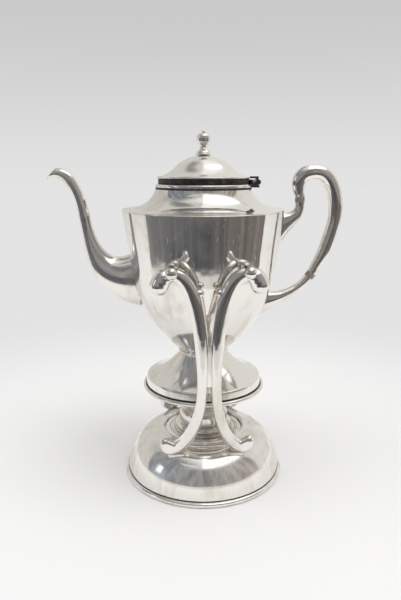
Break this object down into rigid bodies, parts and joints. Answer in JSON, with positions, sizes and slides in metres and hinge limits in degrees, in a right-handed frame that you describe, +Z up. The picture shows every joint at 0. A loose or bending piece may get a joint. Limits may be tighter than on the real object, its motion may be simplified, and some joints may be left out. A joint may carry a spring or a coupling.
{
  "type": "tilting coffee pot on a lamp stand",
  "caption": "Urn-shaped silver-plated coffee pot with a swan-neck spout and looped handle, hung on pegs in a four-armed stand over a spirit burner, and tilted to pour.",
  "frame": {"origin": "where the upright axis of the stand and pot meets the table", "axes": "+Z up along the pot's axis, -X along the spout, +X along the handle, -Y to the viewer's side"},
  "size_m": [0.2629, 0.1798, 0.3196],
  "materials": {
    "silver_plate": "polished silver plate with fine scratches and light tarnish",
    "heat_ring": "smooth, dark brown insulator",
    "wick": "braided cotton"
  },
  "bodies": {
    "stand": {"base_dome": "silver_plate", "base_wire_ring": "silver_plate", "burner_collar": "silver_plate", "arm_front_left": "silver_plate", "arm_front_right": "silver_plate", "arm_rear_left": "silver_plate", "arm_rear_right": "silver_plate", "arm_bridge_front": "silver_plate", "arm_bridge_rear": "silver_plate"},
    "burner": {"burner_tank": "silver_plate", "burner_flange": "silver_plate", "burner_wick_tube": "silver_plate", "burner_wick": "wick"},
    "snuffer": {"snuffer_cap": "silver_plate", "snuffer_knob": "silver_plate"},
    "pivots": {"pivot_front": "silver_plate", "pivot_rear": "silver_plate"},
    "pot": {"pot_foot": "silver_plate", "pot_foot_wire": "silver_plate", "pot_waist": "silver_plate", "pot_bowl": "silver_plate", "pot_neck": "silver_plate", "pot_rim": "silver_plate", "pot_bezel": "silver_plate", "pot_spout": "silver_plate", "pot_strainer": "silver_plate", "handle_socket_upper": "silver_plate", "handle_ring_upper": "heat_ring", "handle_grip": "silver_plate", "handle_ring_lower": "heat_ring", "handle_socket_lower": "silver_plate", "handle_pin_upper": "silver_plate", "handle_pin_lower": "silver_plate", "boss_front_left": "silver_plate", "boss_front_right": "silver_plate", "boss_rear_left": "silver_plate", "boss_rear_right": "silver_plate", "rest_peg_front": "silver_plate", "rest_peg_rear": "silver_plate", "hinge_leaf_pot": "silver_plate", "hinge_pin": "silver_plate"},
    "lid": {"lid_dome": "silver_plate", "lid_rim": "silver_plate", "lid_plug": "silver_plate", "lid_finial": "silver_plate", "lid_finial_nut": "silver_plate", "hinge_leaf_lid": "silver_plate"}
  },
  "joints": [
    {"name": "pot_lift", "type": "slide", "parent": "stand", "child": "pivots", "axis": [0, 0, 1], "range_m": [0, 0.012]},
    {"name": "pot_tilt", "type": "hinge", "parent": "pivots", "child": "pot", "pos_m": [-0.0303, 0, 0.2095], "axis": [0, -1, 0], "range_deg": [0, 60]},
    {"name": "lid_open", "type": "hinge", "parent": "pot", "child": "lid", "pos_m": [0.0476, 0, 0.2756], "axis": [0, 1, 0], "range_deg": [0, 100]},
    {"name": "burner_lift", "type": "slide", "parent": "stand", "child": "burner", "axis": [0, 0, 1], "range_m": [0, 0.008]},
    {"name": "snuffer_lift", "type": "slide", "parent": "burner", "child": "snuffer", "axis": [0, 0, 1], "range_m": [0, 0.008]}
  ]
}
